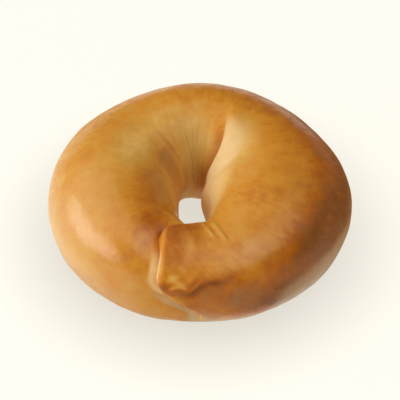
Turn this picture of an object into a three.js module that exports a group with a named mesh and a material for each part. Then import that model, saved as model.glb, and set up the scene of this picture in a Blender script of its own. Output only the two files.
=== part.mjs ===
// A plain hand-rolled bagel: a rope of dough bent into a ring and baked.
// One end of the rope is a broad flap lapped over the other, narrower end, the tail.
// Millimetres, +Z up. The lap faces -Y, and the ring lies on its flat baked base at Z = 0.
//
// Every point of the crust has two angles. `around` runs round the ring, counter-clockwise seen
// from above, from 0 on the right (+X). `section` runs round the rope itself: 0 faces outward,
// 90 degrees is the top, 180 faces the hole and 270 is the base.

import * as THREE from "three";

// ---------------------------------------------------------------------------
// Driving sizes
// ---------------------------------------------------------------------------

// The middle line of the rope is an ellipse, a little deeper in front than behind.
const RING_HALF_WIDTH = 26.8;
const RING_HALF_DEPTH_BACK = 29.4;
const RING_HALF_DEPTH_FRONT = 30.2;

// The rope is uneven. These are its half widths and heights at twelve places, 30 degrees apart,
// from the right by way of the back, the left and the front.
const ROPE_HALF_WIDTHS = [24.3, 21.7, 19.9, 18.8, 19.5, 20.8, 22.0, 20.0, 16.4, 13.4, 18.4, 23.0];
const ROPE_HEIGHTS = [36.5, 36.0, 35.4, 35.0, 34.6, 34.6, 35.0, 34.0, 32.2, 29.6, 32.2, 35.0];

// The rope is widest at this part of its height, and its section is boxier below that.
const WAIST_HEIGHT_RATIO = 0.44;
const BASE_SQUARENESS = 2.6;

// How far the round section would dip below the tray. That much is flattened into the base.
const BASE_FLATTENING = 1.2;

// Slow unevenness of the dough.
const BROAD_LUMP_HEIGHT = 0.35;
const SMALL_LUMP_HEIGHT = 0.25;

// The rim of the flap stands across the rope at FLAP_RIM_ANGLE. Over the top it swings to the
// left by FLAP_TONGUE_SWING, which makes the flap a tongue. Its corner by the hole swings a
// little farther, by FLAP_CORNER_SWING.
const FLAP_RIM_ANGLE = 272.5;
const FLAP_TONGUE_SWING = 20;
const FLAP_CORNER_SWING = 4.5;
const FLAP_STEP = { rise: 3.4, shoulder: 0.55, fadeFrom: 8, fadeTo: 70, dip: 2.4, dipWidth: 5.0 };

// The crease where the rope folds in at the back. Only its inner, hole side shows.
const CREASE_ANGLE = 65;
const CREASE_SWING = 23;
const CREASE_STEP = { rise: 2.6, shoulder: 1.8, fadeFrom: 5, fadeTo: 40, dip: 1.0, dipWidth: 4.0 };

// A fold low on the flap: a lip above a line, and a hollow below it. Seen from the rim, the line
// runs level, climbs by LIP_CLIMB between LIP_CLIMB_FROM and LIP_CLIMB_TO, and levels off again.
const LIP_LEVEL = 20;
const LIP_CLIMB = 14;
const LIP_CLIMB_FROM = 266;
const LIP_CLIMB_TO = 276.5;
const LIP_HEIGHT = 0.9;
const LIP_HOLLOW = 1.5;
const LIP_SOFTNESS = 0.9;

// The shallow hollow where the flap runs into the right side, beside the hole.
const THROAT_HOLLOW = 1.3;

// Facets: columns round the ring, rows round the section.
const COLUMNS = 96;
const ROWS = 50;
const COLUMN_CROWDING = 0.82;

// ---------------------------------------------------------------------------
// Small helpers
// ---------------------------------------------------------------------------

const FULL_TURN = 2 * Math.PI;
const radians = THREE.MathUtils.degToRad;
const degrees = THREE.MathUtils.radToDeg;
const ramp = THREE.MathUtils.smoothstep;

/** The angle from b to a, between minus half a turn and half a turn. */
function turnBetween(a, b) {
  return THREE.MathUtils.euclideanModulo(a - b + Math.PI, FULL_TURN) - Math.PI;
}

/** 1 at zero, falling to nothing over a few widths. */
function bell(distance, width) {
  return Math.exp(-((distance / width) ** 2));
}

/** A section angle as degrees from -90, under the outer side, to 270, under the hole side. */
function sectionDegrees(section) {
  return degrees(turnBetween(section, radians(90))) + 90;
}

/** The value at an angle round the ring, on a smooth closed curve through evenly spaced sizes. */
function sizeAround(around, sizes) {
  const place = (THREE.MathUtils.euclideanModulo(around, FULL_TURN) / FULL_TURN) * sizes.length;
  const index = Math.floor(place);
  const share = place - index;
  const [before, from, to, after] = [-1, 0, 1, 2].map(
    (offset) => sizes[(index + offset + sizes.length) % sizes.length],
  );
  const slope = to - before;
  const bend = 2 * before - 5 * from + 4 * to - after;
  const twist = 3 * (from - to) + after - before;
  return from + 0.5 * share * (slope + share * (bend + share * twist));
}

// ---------------------------------------------------------------------------
// The plain rope
// ---------------------------------------------------------------------------

/** A point on the rope before its folds are added. */
function ropePoint(around, section) {
  const halfWidth = sizeAround(around, ROPE_HALF_WIDTHS);
  const height = sizeAround(around, ROPE_HEIGHTS);
  const waist = WAIST_HEIGHT_RATIO * height;
  const across = Math.cos(section);
  const rise = Math.sin(section);

  const boxiness = ramp(-rise, 0, 0.8);
  const power = 2 / (2 + (BASE_SQUARENESS - 2) * boxiness);
  const outward = halfWidth * Math.sign(across) * Math.abs(across) ** power;
  const upper = (height - waist) * rise;
  const lower = -(waist + BASE_FLATTENING) * Math.abs(rise) ** power;
  const up = waist + (rise >= 0 ? upper : lower);

  const halfDepth = Math.sin(around) >= 0 ? RING_HALF_DEPTH_BACK : RING_HALF_DEPTH_FRONT;
  const middle = new THREE.Vector2(RING_HALF_WIDTH * Math.cos(around), halfDepth * Math.sin(around));
  const away = new THREE.Vector2(halfDepth * Math.cos(around), RING_HALF_WIDTH * Math.sin(around));
  middle.addScaledVector(away.normalize(), outward);
  return new THREE.Vector3(middle.x, middle.y, up);
}

/** The rope's slope along each angle, and its outward normal, at a point. */
function ropeFrame(around, section) {
  const step = 1e-3;
  const slope = (high, low) => high.sub(low).divideScalar(2 * step);
  const alongRing = slope(ropePoint(around + step, section), ropePoint(around - step, section));
  const alongSection = slope(ropePoint(around, section + step), ropePoint(around, section - step));
  const normal = new THREE.Vector3().crossVectors(alongRing, alongSection).normalize();
  return { ringStretch: alongRing.length(), sectionStretch: alongSection.length(), normal };
}

// ---------------------------------------------------------------------------
// The folds
// ---------------------------------------------------------------------------

/** Where the flap's rim crosses the rope, as an angle round the ring. */
function flapRim(section) {
  const fromTongue = degrees(turnBetween(section, radians(60)));
  const tongue = ramp(fromTongue, -80, -30) * (1 - ramp(fromTongue, 28, 72));
  const corner = bell(fromTongue - 26, 20);
  return radians(FLAP_RIM_ANGLE - FLAP_TONGUE_SWING * tongue - FLAP_CORNER_SWING * corner);
}

/** Where the back crease crosses the rope, as an angle round the ring. */
function backCrease(section) {
  const fromMiddle = degrees(turnBetween(section, radians(150)));
  return radians(CREASE_ANGLE - CREASE_SWING * bell(fromMiddle, 35));
}

/** Millimetres from a point to a seam, straight across it. */
function distanceToSeam(around, section, seamAngle, frame) {
  const step = 1e-3;
  const slant = (seamAngle(section + step) - seamAngle(section - step)) / (2 * step);
  const lean = (slant * frame.ringStretch) / Math.max(frame.sectionStretch, 1);
  return (turnBetween(around, seamAngle(section)) * frame.ringStretch) / Math.hypot(1, lean);
}

/**
 * The height of a step in the dough. `distance` is in millimetres across the seam and `away` in
 * degrees round the ring, both positive on the raised side.
 */
function seamStep(distance, away, seam) {
  if (distance > 0) {
    const edge = Math.exp(-distance / seam.shoulder);
    const fade = 1 - ramp(away, seam.fadeFrom, seam.fadeTo);
    return seam.rise * (1 - edge) * fade - seam.dip * edge;
  }
  return -seam.dip * Math.exp(distance / seam.dipWidth) * (1 - ramp(-away, 50, 90));
}

/** The flap's rim: strong over the top and the outer side, gone near the base and in the hole. */
function flapRelief(around, section, frame) {
  const place = sectionDegrees(section);
  const strength = ramp(place, -38, 8) * (1 - ramp(place, 92, 160));
  const distance = distanceToSeam(around, section, flapRim, frame);
  const away = degrees(turnBetween(around, flapRim(section)));
  return strength * seamStep(distance, away, FLAP_STEP);
}

/** The crease at the back, raised on the side of the ring's right half. */
function creaseRelief(around, section, frame) {
  const place = sectionDegrees(section);
  const strength = ramp(place, 84, 120) * (1 - ramp(place, 150, 195));
  const distance = distanceToSeam(around, section, backCrease, frame);
  const away = degrees(turnBetween(around, backCrease(section)));
  return strength * seamStep(-distance, -away, CREASE_STEP);
}

/** Where the fold low on the flap lies at a place round the ring, all in degrees. */
function foldLine(place) {
  return LIP_LEVEL + LIP_CLIMB * ramp(place, LIP_CLIMB_FROM, LIP_CLIMB_TO);
}

/** The fold low on the flap. */
function lipRelief(around, section, frame) {
  const place = THREE.MathUtils.euclideanModulo(degrees(around), 360);
  const height = radians(sectionDegrees(section) - foldLine(place)) * frame.sectionStretch;
  const slant = (foldLine(place + 0.1) - foldLine(place - 0.1)) / 0.2;
  const above = height / Math.hypot(1, (slant * frame.sectionStretch) / frame.ringStretch);
  const strength = ramp(place, 258, 268) * (1 - ramp(place, 279, 289));
  const lipShare = 0.5 * (1 + Math.tanh(above / LIP_SOFTNESS));
  const lip = LIP_HEIGHT * lipShare * bell(above, 5);
  const hollow = LIP_HOLLOW * (1 - lipShare) * bell(above, 6);
  return strength * (lip - hollow);
}

/** The hollow beside the hole. */
function throatRelief(around, section) {
  const sideways = bell(degrees(turnBetween(around, radians(290))), 14);
  return -THROAT_HOLLOW * sideways * bell(sectionDegrees(section) - 118, 26);
}

/** The dough's slow lumps. */
function lumpRelief(around, section) {
  const broad = BROAD_LUMP_HEIGHT * Math.sin(3 * around + 1) * Math.cos(2 * section + 0.5);
  return broad + SMALL_LUMP_HEIGHT * Math.sin(5 * around - 2 * section + 2);
}

/** A point on the finished crust, flattened where it lies on the tray. */
function crustPoint(around, section) {
  const frame = ropeFrame(around, section);
  const relief =
    lumpRelief(around, section) +
    flapRelief(around, section, frame) +
    creaseRelief(around, section, frame) +
    lipRelief(around, section, frame) +
    throatRelief(around, section);
  const point = ropePoint(around, section).addScaledVector(frame.normal, relief);
  point.z = Math.max(point.z, 0);
  return point;
}

// ---------------------------------------------------------------------------
// The closed skin
// ---------------------------------------------------------------------------

/** Angles round the ring from one seam to the next, crowded close to both seams. */
function columnAngle(column, section) {
  const halfColumns = COLUMNS / 2;
  const share = (column % halfColumns) / halfColumns;
  const crowded = share - (COLUMN_CROWDING * Math.sin(FULL_TURN * share)) / FULL_TURN;
  const crease = backCrease(section);
  const rim = flapRim(section);
  if (column < halfColumns) {
    return THREE.MathUtils.lerp(crease, rim, crowded);
  }
  return THREE.MathUtils.lerp(rim, crease + FULL_TURN, crowded);
}

/** The crust as one closed mesh, with two triangles for each cell of the grid. */
function crustGeometry() {
  const positions = [];
  const triangles = [];
  for (let column = 0; column < COLUMNS; column += 1) {
    for (let row = 0; row < ROWS; row += 1) {
      const section = (row / ROWS) * FULL_TURN;
      const point = crustPoint(columnAngle(column, section), section);
      positions.push(point.x, point.y, point.z);

      const nextColumn = (column + 1) % COLUMNS;
      const nextRow = (row + 1) % ROWS;
      const here = column * ROWS + row;
      const beside = nextColumn * ROWS + row;
      const opposite = nextColumn * ROWS + nextRow;
      const above = column * ROWS + nextRow;
      triangles.push(here, beside, opposite);
      triangles.push(here, opposite, above);
    }
  }
  const geometry = new THREE.BufferGeometry();
  geometry.setAttribute("position", new THREE.Float32BufferAttribute(positions, 3));
  geometry.setIndex(triangles);
  return geometry;
}

/** Moves a shape sideways so that the origin is under the middle of its box. */
function centreOverOrigin(geometry) {
  geometry.computeBoundingBox();
  const middle = geometry.boundingBox.getCenter(new THREE.Vector3());
  return geometry.translate(-middle.x, -middle.y, 0);
}

const crust = centreOverOrigin(crustGeometry());
crust.computeVertexNormals();

const bakedDough = new THREE.MeshStandardMaterial({
  color: 0xc58a45,
  roughness: 0.42,
  metalness: 0,
});

const bagel = new THREE.Mesh(crust, bakedDough);
bagel.name = "bagel";

const group = new THREE.Group();
group.add(bagel);

export default group;
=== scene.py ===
import math

import bpy
import numpy as np
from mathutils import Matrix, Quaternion, Vector, noise


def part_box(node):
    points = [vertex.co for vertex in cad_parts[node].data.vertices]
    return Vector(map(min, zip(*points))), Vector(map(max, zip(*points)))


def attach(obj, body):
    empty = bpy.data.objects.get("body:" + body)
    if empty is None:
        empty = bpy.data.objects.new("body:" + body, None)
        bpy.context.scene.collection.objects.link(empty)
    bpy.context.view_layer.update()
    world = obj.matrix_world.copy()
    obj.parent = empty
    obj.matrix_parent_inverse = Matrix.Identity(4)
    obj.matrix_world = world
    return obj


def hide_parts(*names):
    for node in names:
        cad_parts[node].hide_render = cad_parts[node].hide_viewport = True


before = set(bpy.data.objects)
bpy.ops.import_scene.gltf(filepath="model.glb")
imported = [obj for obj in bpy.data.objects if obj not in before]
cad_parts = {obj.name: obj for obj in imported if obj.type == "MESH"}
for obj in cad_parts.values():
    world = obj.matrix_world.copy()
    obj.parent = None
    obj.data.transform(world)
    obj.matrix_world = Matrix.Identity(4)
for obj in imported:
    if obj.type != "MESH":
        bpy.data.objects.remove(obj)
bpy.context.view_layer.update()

bl_info = {
    "name": "Plain Bagel",
    "version": (1, 0, 0),
    "blender": (4, 5, 0),
    "location": "View3D > Sidebar > Bagel",
    "description": "A hand-rolled bagel with a glossy baked crust, on a pale studio floor",
    "category": "Add Mesh",
}

MILLIMETRE = 0.001

# ---------------------------------------------------------------------------
# The rope of dough, in millimetres and degrees
# ---------------------------------------------------------------------------

# The middle line of the rope is an ellipse, a little deeper in front than behind.
RING_HALF_WIDTH = 26.8
RING_HALF_DEPTH_BACK = 29.4
RING_HALF_DEPTH_FRONT = 30.2

# Half widths and heights at twelve places, 30 degrees apart, from the right by way of the back.
ROPE_HALF_WIDTHS = np.array([24.3, 21.7, 19.9, 18.8, 19.5, 20.8, 22.0, 20.0, 16.4, 13.4, 18.4, 23.0])
ROPE_HEIGHTS = np.array([36.5, 36.0, 35.4, 35.0, 34.6, 34.6, 35.0, 34.0, 32.2, 29.6, 32.2, 35.0])

WAIST_HEIGHT_RATIO = 0.44
BASE_SQUARENESS = 2.6
BASE_FLATTENING = 1.2
BROAD_LUMP_HEIGHT = 0.35
SMALL_LUMP_HEIGHT = 0.25

# The flap's rim crosses the rope here, and swings to the left over the top and at its corner.
FLAP_RIM_ANGLE = 272.5
FLAP_TONGUE_SWING = 20
FLAP_CORNER_SWING = 4.5
FLAP_STEP = {"shoulder": 0.55, "fade": (8, 70), "dip_width": 5.0}

# The crease at the back, which shows in the hole.
CREASE_ANGLE = 65
CREASE_SWING = 23
CREASE_STEP = {"shoulder": 1.8, "fade": (5, 40), "dip_width": 4.0}

# The fold low on the flap. Its lip is sharper than the solid model's.
LIP_LEVEL = 20
LIP_CLIMB = 14
LIP_CLIMB_FROM = 266
LIP_CLIMB_TO = 276.5
LIP_SOFTNESS = 0.45
LIP_WIDTH = 5.0
LIP_HOLLOW_WIDTH = 6.0

# The hollow where the flap runs into the right side, beside the hole.
THROAT_HOLLOW = 1.3

# ---------------------------------------------------------------------------
# What is finer than the solid model
# ---------------------------------------------------------------------------

# Ridges pulled into the hole beside the flap. For each: its angle at its middle, how it leans as
# it climbs, its height, and where it starts and ends round the section.
TENSION_RIDGES = (
    (280.5, -0.19, 1.0, 82, 108),
    (287.0, -0.07, 0.9, 74, 106),
)
TENSION_RIDGE_MIDDLE = 95
TENSION_RIDGE_WIDTH = 0.55

# Wrinkles on the flap. For each: millimetres above the fold, height, where it starts and ends
# round the ring, and its width.
FLAP_WRINKLES = (
    (2.2, 1.0, 258, 267, 0.5),
    (3.7, 0.8, 257, 265, 0.5),
    (1.6, 0.5, 267, 273, 0.4),
    (5.3, 0.8, 257, 263, 0.5),
    (6.6, 0.4, 261, 266, 0.6),
)

# The stretch of the hole's wall that is grooved, round the ring, and how deep grooves are beside
# the wrinkles.
GROOVES_FROM = 70.0
GROOVES_TO = 186
GROOVE_DEPTH_SHARE = 1.2

# Soft dents in the skin, in millimetres.
BROAD_DENT = 9.0
SMALL_DENT = 3.6
SMALL_DENT_SHARE = 0.45

# ---------------------------------------------------------------------------
# The baking
# ---------------------------------------------------------------------------

# How brown most of the crust is, from 0 to 1.
EVEN_BROWNING = 0.44

# Patches drawn browner or paler than the rest: partly real browning, and partly painted shade on the
# sides and hollows that face away from the light. For each: how much, its middle round the ring
# and round the section, and its spread along each, in degrees.
BROWN_AND_SHADE_PATCHES = (
    (-0.15, 190, 15, 50, 55),  # the left side
    (-0.40, 162, 106, 30, 18),  # the top of the ring, left of the hole
    # Painted shade on top of real browning: the hole's left wall faces away from the light, darkest deepest
    # in.
    (0.32, 206, 124, 34, 26),  # the hole's left wall
    (0.24, 148, 134, 26, 12),  # the top of that wall, farther back
    (0.34, 151, 150, 15, 20),  # the same wall, deeper in
    (-0.16, 100, 122, 32, 24),  # the back of the hole's wall
    # Painted shade on top of real browning: the back and the right side face away from the light.
    (0.22, 40, 50, 60, 40),  # the back of the right side
    (0.48, 345, 18, 48, 42),  # the right side
    (-0.10, 352, 66, 20, 14),  # the top of the right side
    # Painted shade too, on the front of the right side.
    (0.20, 330, 32, 18, 18),  # the front of the right side
    (0.10, 320, 100, 18, 16),  # the right side, beside the hole
    (0.16, 284, 38, 9, 10),  # above the end of the fold
    # Painted shade: under the fold and low down beside it the dough faces down, away from the light.
    (0.26, 292, 4, 25, 22),  # under the fold
    (0.20, 304, -2, 12, 18),  # low down, right of the fold
    (0.14, 238, 55, 14, 45),  # the left side, along the flap
)

# Noise in the crust, in metres: the size of its features.
PATCH_GRAIN = 0.010
BLOTCH_GRAIN = 0.0034
STREAK_GRAIN = 0.0016
SPECK_GRAIN = 0.0011
BLISTER_GRAIN = 0.0019
PORE_GRAIN = 0.0006
BLISTER_DEPTH = 0.00011
PORE_DEPTH = 0.00006

# How much rougher than smooth crust the blotches and the matt parts are.
BLOTCH_ROUGHNESS = 0.12
MATT_ROUGHNESS = 0.7

# What is the same all over the crust.
CRUST_CONSTANTS = {
    "IOR": 1.45,
    "Specular IOR Level": 0.3,
    "Coat Roughness": 0.28,
    "Subsurface Weight": 0.12,
    "Subsurface Radius": (1.0, 0.45, 0.18),
    "Subsurface Scale": 0.0018,
}

# ---------------------------------------------------------------------------
# The studio, in metres
# ---------------------------------------------------------------------------

# The board's glow is weaker under and beside the bagel, a painted shadow round it, and its surface is
# nearly black.
BOARD_RADIUS = 6
BOARD_PAINTED_SHADOW_REACH = (0.035, 0.076)
BOARD_PAINTED_SHADOW_SHARE = 0.74
BOARD_LIGHTNESS = (0.09, 0.10)

# For each softbox: where it stands, its width and height, its roll in degrees, and its colour.
KEY_LIGHT = ((-0.80, -0.15, 0.30), (1.02, 0.40), 8, (1.0, 0.97, 0.93))
FILL_LIGHT = ((-0.68, 0.28, 1.0), (1.5, 1.5), 0, (1.0, 0.98, 0.95))
OVERHEAD_LIGHT = ((0.40, -0.28, 1.0), (1.5, 1.0), 0, (1.0, 0.98, 0.96))
LIGHT_TARGET = Vector((0, 0, 0.02))
ROOM_COLOUR = (1.0, 0.97, 0.92)
CAMERA_TARGET = Vector((0, 0, 0.016))


# ---------------------------------------------------------------------------
# Settings
# ---------------------------------------------------------------------------

class BagelDough(bpy.types.PropertyGroup):
    """The folds and the skin of the dough."""

    flap_rise: bpy.props.FloatProperty(
        name="Flap rise",
        description="Thickness of the flap's rim above the rope, in millimetres",
        default=3.4,
        min=0,
    )
    flap_dip: bpy.props.FloatProperty(
        name="Flap dip",
        description="Depth of the valley beside the flap's rim, in millimetres",
        default=2.4,
        min=0,
    )
    crease_rise: bpy.props.FloatProperty(
        name="Crease rise",
        description="Height of the fold beside the back crease, in millimetres",
        default=2.6,
        min=0,
    )
    crease_dip: bpy.props.FloatProperty(
        name="Crease dip",
        description="Depth of the back crease, in millimetres",
        default=1.0,
        min=0,
    )
    lip_height: bpy.props.FloatProperty(
        name="Lip height",
        description="Height of the lip above the fold low on the flap, in millimetres",
        default=0.9,
        min=0,
    )
    lip_hollow: bpy.props.FloatProperty(
        name="Lip hollow",
        description="Depth of the hollow under that lip, in millimetres",
        default=1.5,
        min=0,
    )
    wrinkle_depth: bpy.props.FloatProperty(
        name="Wrinkle depth",
        description="Depth of the wrinkles at the hole and on the flap, in millimetres",
        default=0.34,
        min=0,
    )
    skin_unevenness: bpy.props.FloatProperty(
        name="Skin unevenness",
        description="Height of the soft dents all over the skin, in millimetres",
        default=0.16,
        min=0,
    )
    columns: bpy.props.IntProperty(
        name="Columns",
        description="Faces round the ring, an even number",
        default=440,
        min=24,
    )
    rows: bpy.props.IntProperty(
        name="Rows",
        description="Faces round the rope's section",
        default=220,
        min=12,
    )


class BagelCrust(bpy.types.PropertyGroup):
    """The colours and the gloss of the crust."""

    wheat: bpy.props.FloatVectorProperty(
        name="Wheat",
        description="The least browned crust",
        subtype="COLOR",
        default=(0.80, 0.47, 0.12),
    )
    # Also painted light on the hole's right wall and a painted reflection low on the left side.
    pale: bpy.props.FloatVectorProperty(
        name="Pale dough",
        description="Dough that a fold kept from browning",
        subtype="COLOR",
        default=(0.86, 0.59, 0.27),
    )
    golden: bpy.props.FloatVectorProperty(
        name="Golden",
        description="Lightly browned crust",
        subtype="COLOR",
        default=(0.68, 0.355, 0.066),
    )
    honey: bpy.props.FloatVectorProperty(
        name="Honey",
        description="Evenly browned crust",
        subtype="COLOR",
        default=(0.65, 0.26, 0.024),
    )
    amber: bpy.props.FloatVectorProperty(
        name="Amber",
        description="Well browned crust",
        subtype="COLOR",
        default=(0.47, 0.130, 0.007),
    )
    umber: bpy.props.FloatVectorProperty(
        name="Umber",
        description="The darkest crust",
        subtype="COLOR",
        default=(0.24, 0.072, 0.008),
    )
    wall: bpy.props.FloatVectorProperty(
        name="Wall of the hole",
        description="The crust at the back of the hole",
        subtype="COLOR",
        default=(0.60, 0.395, 0.105),
    )
    # Also painted shade low on the front and right, under the fold and in the valley beside the flap.
    grey: bpy.props.FloatVectorProperty(
        name="Underside",
        description="The crust near and under the base",
        subtype="COLOR",
        default=(0.44, 0.27, 0.125),
    )
    roughness: bpy.props.FloatProperty(
        name="Roughness",
        description="Roughness of the crust where it is smoothest",
        subtype="FACTOR",
        default=0.24,
        min=0,
        max=1,
    )
    glaze: bpy.props.FloatProperty(
        name="Glaze",
        description="Strength of the gloss on top of the glossiest crust",
        subtype="FACTOR",
        default=0.75,
        min=0,
        max=1,
    )
    mottling: bpy.props.FloatProperty(
        name="Mottling",
        description="How much the browning varies from spot to spot",
        subtype="FACTOR",
        default=0.13,
        min=0,
        max=1,
    )


class BagelStudio(bpy.types.PropertyGroup):
    """The floor, the lights and the camera."""

    floor_colour: bpy.props.FloatVectorProperty(
        name="Floor",
        description="Colour of the white board, which is lit from below",
        subtype="COLOR",
        default=(1.0, 0.965, 0.87),
    )
    floor_glow: bpy.props.FloatProperty(
        name="Floor glow",
        description="Brightness of the light that comes up through the board",
        default=0.94,
        min=0,
    )
    key_power: bpy.props.FloatProperty(
        name="Key light",
        description="Power of the low soft light on the left, in watts",
        default=5.2,
        min=0,
    )
    fill_power: bpy.props.FloatProperty(
        name="Fill light",
        description="Power of the broad light high on the left, in watts",
        default=6.6,
        min=0,
    )
    overhead_power: bpy.props.FloatProperty(
        name="Overhead light",
        description="Power of the broad light above, in watts",
        default=8.3,
        min=0,
    )
    surroundings: bpy.props.FloatProperty(
        name="Surroundings",
        description="Strength of the light from the room",
        default=0.02,
        min=0,
    )
    camera_elevation: bpy.props.FloatProperty(
        name="Camera elevation",
        description="Angle of the camera above the floor",
        subtype="ANGLE",
        default=math.radians(45),
    )
    camera_distance: bpy.props.FloatProperty(
        name="Camera distance",
        description="Distance from the camera to the point it looks at",
        subtype="DISTANCE",
        default=0.7,
        min=0.1,
    )
    frame_width: bpy.props.FloatProperty(
        name="Framed width",
        description="Width that the picture takes in at the bagel",
        subtype="DISTANCE",
        default=0.1318,
        min=0.01,
    )


# ---------------------------------------------------------------------------
# Curves and angles
# ---------------------------------------------------------------------------

def ramp(value, low, high):
    """0 below low and 1 above high, with a smooth rise between them."""
    share = np.clip((value - low) / (high - low), 0, 1)
    return share * share * (3 - 2 * share)


def window(value, low, rise_end, fall_start, high):
    """1 between rise_end and fall_start, 0 outside low and high."""
    return ramp(value, low, rise_end) * (1 - ramp(value, fall_start, high))


def bell(distance, width):
    """1 at zero, falling to nothing over a few widths."""
    return np.exp(-((distance / width) ** 2))


def turn_between(a, b):
    """The angle in degrees from b to a, between -180 and 180."""
    return (a - b + 180) % 360 - 180


def size_around(around, sizes):
    """The value at an angle round the ring, on a smooth closed curve through evenly spaced sizes."""
    place = (around % 360) / 360 * len(sizes)
    index = np.floor(place).astype(int)
    share = place - index
    before, start, end, after = (sizes[(index + step) % len(sizes)] for step in (-1, 0, 1, 2))
    slope = end - before
    bend = 2 * before - 5 * start + 4 * end - after
    twist = 3 * (start - end) + after - before
    return start + 0.5 * share * (slope + share * (bend + share * twist))


def smooth_noise(points, grain, seed):
    """Noise from about -1 to 1 at each point, with features as large as grain, in millimetres."""
    offset = Vector((17.3, 5.1, 9.7)) * seed
    flat = points.reshape(-1, 3) / grain
    values = [noise.noise(Vector(point) + offset) for point in flat]
    return np.array(values).reshape(points.shape[:-1])


# ---------------------------------------------------------------------------
# The rope before its folds
# ---------------------------------------------------------------------------

def rope_points(around, section):
    """Points on the plain rope. Both angles are in degrees: section 0 is outward, 90 is the top."""
    half_width = size_around(around, ROPE_HALF_WIDTHS)
    height = size_around(around, ROPE_HEIGHTS)
    waist = WAIST_HEIGHT_RATIO * height
    across = np.cos(np.radians(section))
    rise = np.sin(np.radians(section))

    power = 2 / (2 + (BASE_SQUARENESS - 2) * ramp(-rise, 0, 0.8))
    outward = half_width * np.sign(across) * np.abs(across) ** power
    upper = (height - waist) * rise
    lower = -(waist + BASE_FLATTENING) * np.abs(rise) ** power
    up = waist + np.where(rise >= 0, upper, lower)

    ring_x = np.cos(np.radians(around))
    ring_y = np.sin(np.radians(around))
    half_depth = np.where(ring_y >= 0, RING_HALF_DEPTH_BACK, RING_HALF_DEPTH_FRONT)
    away_x = half_depth * ring_x
    away_y = RING_HALF_WIDTH * ring_y
    reach = outward / np.hypot(away_x, away_y)
    x = RING_HALF_WIDTH * ring_x + away_x * reach
    y = half_depth * ring_y + away_y * reach
    return np.stack([x, y, up], axis=-1)


def rope_frame(around, section):
    """Millimetres per radian along each angle, and the outward normal."""
    step = 0.05
    span = math.radians(2 * step)
    along_ring = (rope_points(around + step, section) - rope_points(around - step, section)) / span
    along_section = (rope_points(around, section + step) - rope_points(around, section - step)) / span
    normal = np.cross(along_ring, along_section)
    normal /= np.linalg.norm(normal, axis=-1, keepdims=True)
    return np.linalg.norm(along_ring, axis=-1), np.linalg.norm(along_section, axis=-1), normal


# ---------------------------------------------------------------------------
# The folds
# ---------------------------------------------------------------------------

def flap_rim(section):
    """Where the flap's rim crosses the rope, in degrees round the ring."""
    from_tongue = turn_between(section, 60)
    tongue = FLAP_TONGUE_SWING * window(from_tongue, -80, -30, 28, 72)
    return FLAP_RIM_ANGLE - tongue - FLAP_CORNER_SWING * bell(from_tongue - 26, 20)


def fold_line(angle):
    """Where the fold low on the flap lies at an angle round the ring, in degrees round the section."""
    return LIP_LEVEL + LIP_CLIMB * ramp(angle, LIP_CLIMB_FROM, LIP_CLIMB_TO)


def back_crease(section):
    """Where the back crease crosses the rope, in degrees round the ring."""
    return CREASE_ANGLE - CREASE_SWING * bell(turn_between(section, 150), 35)


class Skin:
    """The grid of angles that covers the crust, and each point's place beside the folds."""

    def __init__(self, columns, rows, crowding=0.82):
        half = columns // 2
        share = np.arange(half)[:, None] / half
        crowded = share - crowding * np.sin(2 * np.pi * share) / (2 * np.pi)
        section = np.arange(rows)[None, :] / rows * 360
        crease = back_crease(section)
        rim = flap_rim(section)
        left = crease + (rim - crease) * crowded
        right = rim + (crease + 360 - rim) * crowded
        self.around = np.concatenate([left, right])
        self.section = np.broadcast_to(section, self.around.shape)
        self.ring_stretch, self.section_stretch, self.normal = rope_frame(self.around, self.section)
        self.plain = rope_points(self.around, self.section)

        self.angle = self.around % 360
        self.place = turn_between(self.section, 90) + 90
        self.from_rim = self.distance_to(flap_rim)
        self.from_crease = -self.distance_to(back_crease)
        height = np.radians(self.place - fold_line(self.angle)) * self.section_stretch
        slant = (fold_line(self.angle + 0.1) - fold_line(self.angle - 0.1)) / 0.2
        self.above_fold = height / np.hypot(1, slant * self.section_stretch / self.ring_stretch)
        self.on_fold = window(self.angle, 258, 268, 279, 289)

    def patch(self, angle, place, spread, reach):
        """A soft patch with its middle at an angle and a place, 1 in the middle."""
        return bell(turn_between(self.angle, angle), spread) * bell(self.place - place, reach)

    def sector(self, angle, low, rise_end, fall_start, high):
        """A stretch round the ring, given in degrees from an angle, 1 in the middle."""
        return window(turn_between(self.angle, angle), low, rise_end, fall_start, high)

    def distance_to(self, seam):
        """Millimetres to a seam, straight across it, positive counter-clockwise of it."""
        step = 0.05
        slant = (seam(self.section + step) - seam(self.section - step)) / (2 * step)
        lean = slant * self.ring_stretch / np.maximum(self.section_stretch, 1)
        turn = np.radians(turn_between(self.around, seam(self.section)))
        return turn * self.ring_stretch / np.hypot(1, lean)


def seam_step(distance, away, rise, dip, shoulder, fade, dip_width):
    """
    The height of a step in the dough. Distance is in millimetres across the seam and away in
    degrees round the ring, both positive on the raised side.
    """
    edge = np.exp(-np.maximum(distance, 0) / shoulder)
    raised = rise * (1 - edge) * (1 - ramp(away, *fade)) - dip * edge
    valley = -dip * np.exp(np.minimum(distance, 0) / dip_width) * (1 - ramp(-away, 50, 90))
    return np.where(distance > 0, raised, valley)


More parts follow.
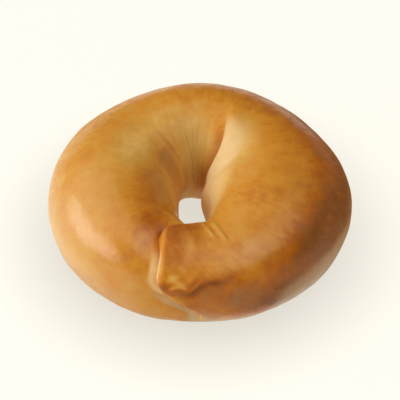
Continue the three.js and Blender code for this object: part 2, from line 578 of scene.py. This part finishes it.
def fold_relief(skin, dough):
    """The height that the folds of the solid model add to the plain rope."""
    around = np.radians(skin.around)
    section = np.radians(skin.section)
    relief = BROAD_LUMP_HEIGHT * np.sin(3 * around + 1) * np.cos(2 * section + 0.5)
    relief += SMALL_LUMP_HEIGHT * np.sin(5 * around - 2 * section + 2)

    strength = window(skin.place, -38, 8, 92, 160)
    away = turn_between(skin.around, flap_rim(skin.section))
    relief += strength * seam_step(skin.from_rim, away, dough.flap_rise, dough.flap_dip, **FLAP_STEP)

    strength = window(skin.place, 84, 120, 150, 195)
    away = turn_between(back_crease(skin.section), skin.around)
    step = seam_step(skin.from_crease, away, dough.crease_rise, dough.crease_dip, **CREASE_STEP)
    relief += strength * step

    lip_share = 0.5 * (1 + np.tanh(skin.above_fold / LIP_SOFTNESS))
    lip = dough.lip_height * lip_share * bell(skin.above_fold, LIP_WIDTH)
    hollow = dough.lip_hollow * (1 - lip_share) * bell(skin.above_fold, LIP_HOLLOW_WIDTH)
    relief += skin.on_fold * (lip - hollow)

    relief -= THROAT_HOLLOW * skin.patch(290, 118, 14, 26)
    return relief


# ---------------------------------------------------------------------------
# The wrinkles and the skin, finer than the solid model
# ---------------------------------------------------------------------------

def tension_ridges(skin):
    """Thin ridges where the dough is pulled into the hole beside the flap, from 0 to 1."""
    ridges = np.zeros_like(skin.angle)
    for middle, lean, height, low, high in TENSION_RIDGES:
        line = middle + lean * (skin.place - TENSION_RIDGE_MIDDLE)
        across = np.radians(turn_between(skin.angle, line)) * skin.ring_stretch
        along = window(skin.place, low - 6, low + 6, high - 4, high + 12)
        ridge = bell(across, TENSION_RIDGE_WIDTH)
        furrow = 0.5 * bell(across - 2 * TENSION_RIDGE_WIDTH, 0.6)
        ridges += height * along * (ridge - furrow)
    return ridges


def wall_grooves(skin):
    """Uneven grooves that run down the inner wall, at the back and the left, from 0 to about 1."""
    random = np.random.default_rng(11)
    grooves = np.zeros_like(skin.angle)
    middle = GROOVES_FROM
    while middle < GROOVES_TO:
        width = random.uniform(0.9, 2.6)
        depth = random.uniform(0.2, 1.0) ** 1.3
        top = random.uniform(112, 150)
        bottom = top + random.uniform(28, 75)
        slant = random.uniform(-0.16, 0.10)
        sway = random.uniform(0.5, 2.0) * np.sin(np.radians(skin.place * 4 + random.uniform(0, 360)))
        line = middle + slant * (skin.place - 150) + sway
        down = window(skin.place, top - 12, top + 12, bottom - 10, bottom + 4)
        groove = depth * bell(turn_between(skin.angle, line), width) * down
        grooves = np.maximum(grooves, groove)
        middle += random.uniform(2.5, 9.5)
    return grooves


def flap_wrinkles(skin):
    """Small ridges above the fold low on the flap, from 0 to about 1."""
    wrinkles = np.zeros_like(skin.angle)
    for above, height, start, end, width in FLAP_WRINKLES:
        wander = 0.5 * np.sin(np.radians(skin.angle * 31 + above * 90))
        along = window(skin.angle, start, start + 2.5, end - 2.5, end + 1.5)
        wrinkles += height * bell(skin.above_fold - above - wander, width) * along
    return wrinkles


def crust_points(skin, dough):
    """The finished crust, in millimetres, flat where it lies on the tray."""
    relief = fold_relief(skin, dough)
    wrinkles = tension_ridges(skin) + flap_wrinkles(skin) - GROOVE_DEPTH_SHARE * wall_grooves(skin)
    relief += dough.wrinkle_depth * wrinkles
    dents = smooth_noise(skin.plain, BROAD_DENT, 1)
    dents += SMALL_DENT_SHARE * smooth_noise(skin.plain, SMALL_DENT, 2)
    relief += dough.skin_unevenness * dents
    points = skin.plain + skin.normal * relief[..., None]
    points[..., 2] = np.maximum(points[..., 2], 0)
    return points


# ---------------------------------------------------------------------------
# Where the crust is brown and where it is pale
# ---------------------------------------------------------------------------

def browning_and_painted_light(skin):
    """How brown the crust is drawn, from 0 to 1, before its mottling, with painted shade and painted light
    added to its baked colour.
    """
    brown = np.full_like(skin.angle, EVEN_BROWNING)
    for share, angle, place, spread, reach in BROWN_AND_SHADE_PATCHES:
        brown += share * skin.patch(angle, place, spread, reach)
    brown += flap_browning_and_painted_light(skin)
    brown += hole_browning_and_painted_light(skin)
    return np.clip(brown, 0, 1)


def flap_browning_and_painted_light(skin):
    """How much browner than its surroundings the flap is drawn, and the dough along it, with painted shade
    beside its corner, along the hole, in the fold and in the hollow under it, and painted highlights on the
    thin ridges.
    """
    # Beside the flap's corner, a painted shadow; behind its rim; along the hole, partly painted shade where
    # the face turns away from the light; and over its middle.
    brown = 0.24 * skin.patch(240, 94, 12, 18) * (skin.from_rim < 0)
    brown += 0.18 * window(skin.from_rim, 0.8, 2.2, 4.5, 9) * window(skin.place, 44, 62, 100, 125)
    brown += 0.20 * bell(skin.place - 91, 15) * window(skin.angle, 243, 247, 270, 283)
    brown += 0.05 * bell(skin.place - 60, 24) * window(skin.angle, 250, 256, 272, 288)

    # In the fold and in the hollow under it, painted shade; on its lip; and among the wrinkles above it.
    brown += 0.24 * skin.on_fold * bell(skin.above_fold + 0.4, 1.4)
    brown += 0.26 * window(skin.above_fold, -1.0, 0.3, 1.6, 4) * window(skin.angle, 252, 256, 268, 280)
    brown += 0.14 * bell(skin.above_fold + 4, 3.5) * window(skin.angle, 262, 268, 285, 298)
    brown += 0.12 * window(skin.above_fold, 0.5, 2, 7, 11) * window(skin.angle, 252, 257, 268, 278)

    # Thin ridges are lighter: a painted highlight along each ridge.
    brown -= 0.38 * np.minimum(flap_wrinkles(skin), 1)
    brown -= 0.30 * np.clip(tension_ridges(skin), 0, 1)
    return brown


def hole_browning_and_painted_light(skin):
    """How much browner than its surroundings the hole's wall is drawn: painted shade in the back crease and
    the grooves, and painted light on its right wall.
    """
    # Lighter right of the crease, where a fold kept the dough pale, and on the hole's right wall, which is
    # painted light over the wall's shade.
    brown = -0.26 * bell(skin.from_crease - 11, 8) * window(skin.place, 85, 110, 170, 200)
    brown -= 0.44 * skin.sector(320, -34, -18, 22, 50) * window(skin.place, 122, 145, 200, 240)

    # Darker left of the crease and in the grooves: painted shade in the crease and in each groove.
    beside = window(skin.from_crease, -5.5, -1.5, -0.6, 0.2)
    brown += 0.34 * beside * window(skin.place, 100, 130, 180, 200)
    brown += 0.18 * wall_grooves(skin)
    return brown


def pale_dough_and_painted_light(skin):
    """Where a fold kept the dough from baking brown, from 0 to 1, with painted light on the hole's right
    wall and a painted reflection of the floor low on the left side.
    """
    rim = window(skin.from_rim, -3.4, -1.8, 0.3, 1.2) * window(skin.place, 0, 14, 48, 68)
    valley = 0.6 * window(skin.from_rim, -5.0, -2.4, 0.2, 1.0) * window(skin.place, -52, -30, 0, 14)
    crease = window(skin.from_crease, -0.5, 0.5, 7.5, 14) * window(skin.place, 98, 122, 178, 205)
    # Painted light: the hole's right wall lies in shade and is drawn pale.
    throat = 0.75 * skin.sector(345, -48, -24, 35, 60) * window(skin.place, 122, 148, 185, 210)
    # Painted reflection: the bright floor's glare low on the left side, drawn as paler dough.
    side = 0.4 * window(skin.angle, 160, 185, 215, 235) * bell(skin.place - 4, 13)
    return np.clip(np.max((rim, valley, crease, throat, side), axis=0), 0, 1)


def underside_and_painted_shade(skin):
    """The greyer crust near and under the base, from 0 to 1; low on the front and the right, under the fold
    and in the valley beside the flap it is painted shade.
    """
    # Painted shade: the front, right, under-fold and valley patches are dough facing away from the light,
    # drawn greyer and darker.
    front = skin.sector(325, -30, -11, 10, 42) * window(skin.place, -110, -60, 0, 18)
    right = 0.4 * skin.sector(350, -26, -12, 10, 30) * bell(skin.place - 2, 16)
    under_fold = 0.25 * window(skin.angle, 262, 272, 292, 308) * window(skin.above_fold, -30, -22, -3, 0)
    valley = 0.9 * window(skin.from_rim, -5.2, -2.4, -1.0, 0.0) * window(skin.place, -60, -36, 2, 16)
    base = 0.7 * bell(turn_between(skin.section, 270), 40)
    return np.max((front, right, under_fold, valley, base), axis=0)


def inner_wall(skin):
    """The wall of the hole, from 0 to 1, from the back crease round to the left side."""
    beside_crease = ramp(-skin.from_crease, -0.5, 0.5) * (0.35 + 0.65 * ramp(-skin.from_crease, 1, 7))
    return beside_crease * (1 - ramp(skin.angle, 215, 246)) * window(skin.place, 105, 140, 230, 262)


def pale_wall(skin):
    """The back of the hole's wall, which is less browned than its left, from 0 to 1."""
    return inner_wall(skin) * (1 - 0.55 * ramp(skin.angle, 95, 135))


def matt_crust(skin):
    """Crust without gloss, from 0 to 1."""
    edge = window(skin.from_rim, -1.0, 0.4, 5.0, 9.0) * window(skin.place, 40, 60, 108, 130)
    lip = skin.on_fold * bell(skin.above_fold, 4)
    crease = window(skin.from_crease, -7, -3, -0.5, 0.4) * window(skin.place, 100, 125, 185, 210)
    folds = 0.65 * np.max((edge, lip, crease, pale_dough_and_painted_light(skin)), axis=0)
    back = skin.sector(70, -110, -80, 55, 108) * (1 - ramp(skin.place, 25, 60))
    right_wall = 0.8 * skin.sector(320, -44, -26, 30, 60) * window(skin.place, 130, 150, 230, 260)
    return np.clip(np.max((folds, 0.45 * inner_wall(skin), back, right_wall), axis=0), 0, 1)


def glaze(skin):
    """The glossiest crust: the left side, and patches on the flap and the right, from 0 to 1."""
    left = window(skin.angle, 174, 198, 238, 252) * window(skin.place, -25, -5, 66, 90)
    flap = 0.25 * window(skin.angle, 252, 262, 285, 310) + 0.7 * bell(turn_between(skin.angle, 300), 10)
    right = 0.5 * skin.patch(350, 75, 25, 18)
    gloss = np.max((left, flap * bell(skin.place - 52, 20), right), axis=0)
    return gloss * (1 - matt_crust(skin))


def streak_space(skin, thinness=0.22, twist=35):
    """A place for each point on a thinner ring, where even noise becomes streaks across the rope."""
    around = np.radians(skin.angle + twist * np.sin(np.radians(skin.section)))
    section = np.radians(skin.section)
    reach = 38 + 18 * thinness * np.cos(section)
    ring = [reach * np.cos(around), reach * np.sin(around), 18 * thinness * np.sin(section)]
    return np.stack(ring, axis=-1) * MILLIMETRE


# ---------------------------------------------------------------------------
# Meshes
# ---------------------------------------------------------------------------

def fit_to_box(points, box):
    """Points in metres that fill the solid model's box exactly."""
    low, high = (np.array(corner) for corner in box)
    least = points.min(axis=(0, 1))
    most = points.max(axis=(0, 1))
    return low + (points - least) * (high - low) / (most - least)


def ring_faces(columns, rows):
    """Four-sided faces over a grid that closes on itself both ways."""
    index = np.arange(columns * rows).reshape(columns, rows)
    beside = np.roll(index, -1, axis=0)
    above = np.roll(index, -1, axis=1)
    opposite = np.roll(beside, -1, axis=1)
    return np.stack([index, beside, opposite, above], axis=-1).reshape(-1, 4)


def smooth_mesh(name, points, faces):
    """A mesh with smooth shading."""
    mesh = bpy.data.meshes.new(name)
    mesh.from_pydata(points.reshape(-1, 3).tolist(), [], faces.tolist())
    mesh.polygons.foreach_set("use_smooth", [True] * len(mesh.polygons))
    mesh.validate()
    mesh.update()
    return mesh


def add_mask(mesh, name, values):
    """Stores one number for each point of the mesh."""
    mask = mesh.attributes.new(name, "FLOAT", "POINT")
    mask.data.foreach_set("value", values.reshape(-1).astype(np.float32))


def add_places(mesh, name, places):
    """Stores one place for each point of the mesh."""
    attribute = mesh.attributes.new(name, "FLOAT_VECTOR", "POINT")
    attribute.data.foreach_set("vector", places.reshape(-1).astype(np.float32))


# ---------------------------------------------------------------------------
# Materials
# ---------------------------------------------------------------------------

class Nodes:
    """Adds nodes to a material's tree and links them."""

    def __init__(self, material):
        material.use_nodes = True
        self.tree = material.node_tree
        self.shader = self.tree.nodes["Principled BSDF"]
        coordinates = self.tree.nodes.new("ShaderNodeTexCoord")
        self.object_space = coordinates.outputs["Object"]

    def join(self, source, target):
        """Links a socket, or sets a value on one."""
        if isinstance(source, bpy.types.NodeSocket):
            self.tree.links.new(source, target)
        else:
            target.default_value = source

    def mask(self, name):
        """A number stored on the mesh."""
        node = self.tree.nodes.new("ShaderNodeAttribute")
        node.attribute_name = name
        return node.outputs["Fac"]

    def places(self, name):
        """A place stored on the mesh."""
        node = self.tree.nodes.new("ShaderNodeAttribute")
        node.attribute_name = name
        return node.outputs["Vector"]

    def noise(self, grain, detail=3.0, roughness=0.55, distortion=0.0, space=None):
        """Noise with features as large as grain, in metres."""
        node = self.tree.nodes.new("ShaderNodeTexNoise")
        node.inputs["Scale"].default_value = 1 / grain
        node.inputs["Detail"].default_value = detail
        node.inputs["Roughness"].default_value = roughness
        node.inputs["Distortion"].default_value = distortion
        self.join(space or self.object_space, node.inputs["Vector"])
        return node.outputs["Fac"]

    def math(self, operation, first, second=0.0, third=0.0):
        """One sum."""
        node = self.tree.nodes.new("ShaderNodeMath")
        node.operation = operation
        for value, socket in zip((first, second, third), node.inputs):
            self.join(value, socket)
        return node.outputs[0]

    def total(self, *shares):
        """The sum of several values, each times its share."""
        result = 0.0
        for value, share in shares:
            result = self.math("MULTIPLY_ADD", value, share, result)
        return result

    def remap(self, value, low, high, to_low, to_high):
        """A value brought from one range to another, and kept inside it."""
        node = self.tree.nodes.new("ShaderNodeMapRange")
        node.interpolation_type = "SMOOTHSTEP"
        for number, socket in zip((value, low, high, to_low, to_high), node.inputs):
            self.join(number, socket)
        return node.outputs[0]

    def ramp(self, value, stops):
        """A colour for each place along a value."""
        node = self.tree.nodes.new("ShaderNodeValToRGB")
        self.join(value, node.inputs["Fac"])
        elements = node.color_ramp.elements
        while len(elements) < len(stops):
            elements.new(0.5)
        for element, (place, colour) in zip(elements, stops):
            element.position = place
            element.color = (*colour, 1)
        return node.outputs["Color"]

    def blend(self, amount, first, second, way="MIX"):
        """Two colours mixed."""
        node = self.tree.nodes.new("ShaderNodeMix")
        node.data_type = "RGBA"
        node.blend_type = way
        self.join(amount, node.inputs["Factor"])
        self.join(first, node.inputs["A"])
        self.join(second, node.inputs["B"])
        return node.outputs["Result"]

    def bump(self, height, distance, strength, below=None):
        """A bump of the given depth, in metres, on top of another one."""
        node = self.tree.nodes.new("ShaderNodeBump")
        node.inputs["Distance"].default_value = distance
        node.inputs["Strength"].default_value = strength
        self.join(height, node.inputs["Height"])
        if below is not None:
            self.join(below, node.inputs["Normal"])
        return node.outputs["Normal"]


def crust_colour(nodes, colours, blotches):
    """The colour of baked dough: browned unevenly, pale in the folds, and greyer near the base, with
    painted shade and painted light carried in the same masks.
    """
    patches = nodes.noise(PATCH_GRAIN, detail=2.0, distortion=0.5)
    streaks = nodes.noise(STREAK_GRAIN, detail=2.0, roughness=0.4, space=nodes.places("streak_space"))
    specks = nodes.noise(SPECK_GRAIN, detail=1.5)
    uneven = nodes.total((patches, 0.32), (streaks, 0.20), (blotches, 0.36), (specks, 0.12))

    # Dark crust is more even than light crust.
    # This mask holds the baked colour together with painted shade and painted light.
    browned = nodes.mask("browning_and_painted_light")
    swing = nodes.math("MULTIPLY", nodes.math("SUBTRACT", uneven, 0.5), 8 * colours.mottling)
    swing_share = nodes.math("MULTIPLY_ADD", browned, -0.62, 1.25)
    brown = nodes.math("MULTIPLY_ADD", swing, swing_share, browned)
    shades = (colours.wheat, colours.golden, colours.honey, colours.amber, colours.umber)
    crust = nodes.ramp(brown, [(0.25 * step, tuple(shade)) for step, shade in enumerate(shades)])

    wall = nodes.math("MULTIPLY", nodes.mask("pale_wall"), 0.68)
    crust = nodes.blend(wall, crust, (*colours.wall, 1))
    # Greyer near the base, and painted shade low on the front and the right.
    ragged = nodes.math("MULTIPLY", nodes.math("SUBTRACT", patches, 0.5), 0.9)
    greyness = nodes.math("ADD", nodes.mask("underside_and_painted_shade"), ragged)
    crust = nodes.blend(nodes.remap(greyness, 0.0, 1.0, 0.0, 0.85), crust, (*colours.grey, 1))
    # Pale in the folds, and painted light on the hole's right wall and low on the left side.
    paleness = nodes.math("MULTIPLY", nodes.mask("pale_dough_and_painted_light"), nodes.remap(blotches, 0.25, 0.6, 0.75, 1.0))
    return nodes.blend(paleness, crust, (*colours.pale, 1))


def crust_roughness(nodes, colours, blotches):
    """Smooth crust, a little rougher in blotches, and much rougher where it is matt."""
    roughest = colours.roughness + BLOTCH_ROUGHNESS
    smooth = nodes.remap(blotches, 0.3, 0.7, colours.roughness, roughest)
    return nodes.math("MULTIPLY_ADD", nodes.mask("matt_crust"), MATT_ROUGHNESS, smooth)


def crust_relief(nodes):
    """Blisters and pores."""
    pores = nodes.noise(PORE_GRAIN, detail=2.0)
    blisters = nodes.noise(BLISTER_GRAIN, detail=2.0)
    relief = nodes.bump(blisters, BLISTER_DEPTH, 0.6)
    return nodes.bump(pores, PORE_DEPTH, 0.6, below=relief)


def crust_material(colours):
    """Baked dough: browned in patches, glossy on top, pale and matt where it was folded."""
    material = bpy.data.materials.new("baked crust")
    nodes = Nodes(material)
    shader = nodes.shader
    blotches = nodes.noise(BLOTCH_GRAIN, detail=2.5, roughness=0.45, distortion=0.4)
    coat = nodes.math("MULTIPLY", nodes.mask("glaze"), colours.glaze)
    nodes.join(crust_colour(nodes, colours, blotches), shader.inputs["Base Color"])
    nodes.join(crust_roughness(nodes, colours, blotches), shader.inputs["Roughness"])
    nodes.join(crust_relief(nodes), shader.inputs["Normal"])
    nodes.join(coat, shader.inputs["Coat Weight"])
    for name, value in CRUST_CONSTANTS.items():
        shader.inputs[name].default_value = value
    return material


def board_material(colour, glow):
    """A matt board with light behind it, weaker where the bagel lies as a painted shadow, so that shadows
    stay pale.
    """
    material = bpy.data.materials.new("lit board")
    nodes = Nodes(material)
    shader = nodes.shader
    distance = nodes.tree.nodes.new("ShaderNodeVectorMath")
    distance.operation = "LENGTH"
    nodes.join(nodes.object_space, distance.inputs[0])
    # Painted shadow: the glow dims near the middle, where the bagel lies.
    strength = nodes.remap(distance.outputs["Value"], *BOARD_PAINTED_SHADOW_REACH, glow * BOARD_PAINTED_SHADOW_SHARE, glow)
    nodes.join(strength, shader.inputs["Emission Strength"])
    shader.inputs["Emission Color"].default_value = (*colour, 1)

    darker, lighter = (tuple(lightness * part for part in colour) for lightness in BOARD_LIGHTNESS)
    tint = nodes.ramp(nodes.noise(0.4, detail=1.0), ((0.2, darker), (0.8, lighter)))
    nodes.join(tint, shader.inputs["Base Color"])
    shader.inputs["Roughness"].default_value = 0.9
    shader.inputs["Specular IOR Level"].default_value = 0.1
    return material


# ---------------------------------------------------------------------------
# The pieces
# ---------------------------------------------------------------------------

class BAGEL_OT_crust(bpy.types.Operator):
    """Build the bagel's crust in place of the plain solid"""

    bl_idname = "bagel.crust"
    bl_label = "Add crust"

    def execute(self, context):
        dough = context.scene.bagel_dough
        skin = Skin(dough.columns, dough.rows)
        points = fit_to_box(crust_points(skin, dough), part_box("bagel"))
        mesh = smooth_mesh("crust", points, ring_faces(dough.columns, dough.rows))
        for mask in (browning_and_painted_light, pale_dough_and_painted_light, pale_wall, underside_and_painted_shade, matt_crust, glaze):
            add_mask(mesh, mask.__name__, mask(skin))
        add_places(mesh, "streak_space", streak_space(skin))
        mesh.materials.append(crust_material(context.scene.bagel_crust))

        crust = bpy.data.objects.new("crust", mesh)
        context.scene.collection.objects.link(crust)
        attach(crust, "root")
        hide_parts("bagel")
        return {"FINISHED"}


def aim(thing, place, target):
    """Puts a light or the camera at a place, looking at a target."""
    thing.location = place
    thing.rotation_mode = "QUATERNION"
    thing.rotation_quaternion = (target - place).to_track_quat("-Z", "Y")


def soft_light(name, power, place, size, roll, colour):
    """A softbox of the given width and height that shines at the bagel."""
    light = bpy.data.lights.new(name, "AREA")
    light.shape = "RECTANGLE"
    light.size, light.size_y = size
    light.energy = power
    light.color = colour
    holder = bpy.data.objects.new(name, light)
    bpy.context.scene.collection.objects.link(holder)
    aim(holder, Vector(place), LIGHT_TARGET)
    holder.rotation_quaternion @= Quaternion((0, 0, 1), math.radians(roll))


class BAGEL_OT_stage(bpy.types.Operator):
    """Add the floor, the lights and the camera"""

    bl_idname = "bagel.stage"
    bl_label = "Add stage"

    def execute(self, context):
        studio = context.scene.bagel_studio
        self.add_floor(context, studio)
        self.add_lights(context, studio)
        self.add_camera(context, studio)
        return {"FINISHED"}

    def add_floor(self, context, studio):
        """A wide round board."""
        bpy.ops.mesh.primitive_circle_add(vertices=96, radius=BOARD_RADIUS, fill_type="NGON")
        floor = context.object
        floor.name = "floor"
        floor.data.materials.append(board_material(studio.floor_colour, studio.floor_glow))

    def add_lights(self, context, studio):
        """A low softbox on the left, a large one above it, one overhead, and a dim room."""
        soft_light("key light", studio.key_power, *KEY_LIGHT)
        soft_light("fill light", studio.fill_power, *FILL_LIGHT)
        soft_light("overhead light", studio.overhead_power, *OVERHEAD_LIGHT)
        world = bpy.data.worlds.new("dim room")
        world.use_nodes = True
        background = world.node_tree.nodes["Background"]
        background.inputs["Color"].default_value = (*ROOM_COLOUR, 1)
        background.inputs["Strength"].default_value = studio.surroundings
        context.scene.world = world

    def add_camera(self, context, studio):
        """A long lens from the front, above the bagel."""
        lens = bpy.data.cameras.new("camera")
        lens.lens = lens.sensor_width * studio.camera_distance / studio.frame_width
        camera = bpy.data.objects.new("camera", lens)
        context.scene.collection.objects.link(camera)
        rise = studio.camera_elevation
        away = Vector((0, -math.cos(rise), math.sin(rise))) * studio.camera_distance
        aim(camera, CAMERA_TARGET + away, CAMERA_TARGET)
        context.scene.camera = camera
        context.scene.view_settings.view_transform = "Standard"


# ---------------------------------------------------------------------------
# The sidebar
# ---------------------------------------------------------------------------

class BAGEL_PT_sidebar(bpy.types.Panel):
    """Lists the pieces and their settings"""

    bl_label = "Bagel"
    bl_idname = "BAGEL_PT_sidebar"
    bl_space_type = "VIEW_3D"
    bl_region_type = "UI"
    bl_category = "Bagel"

    def draw(self, context):
        scene = context.scene
        sections = (
            (BAGEL_OT_crust, (scene.bagel_dough, scene.bagel_crust)),
            (BAGEL_OT_stage, (scene.bagel_studio,)),
        )
        for operator, groups in sections:
            box = self.layout.box()
            for group in groups:
                for name in group.__annotations__:
                    box.prop(group, name)
            box.operator(operator.bl_idname)


SETTINGS = {
    "bagel_dough": BagelDough,
    "bagel_crust": BagelCrust,
    "bagel_studio": BagelStudio,
}
CLASSES = (*SETTINGS.values(), BAGEL_OT_crust, BAGEL_OT_stage, BAGEL_PT_sidebar)


def register():
    for each in CLASSES:
        bpy.utils.register_class(each)
    for name, group in SETTINGS.items():
        setattr(bpy.types.Scene, name, bpy.props.PointerProperty(type=group))


def unregister():
    for name in SETTINGS:
        delattr(bpy.types.Scene, name)
    for each in reversed(CLASSES):
        bpy.utils.unregister_class(each)


def main():
    register()
    bpy.ops.bagel.crust()
    bpy.ops.bagel.stage()


if __name__ == "__main__":
    main()
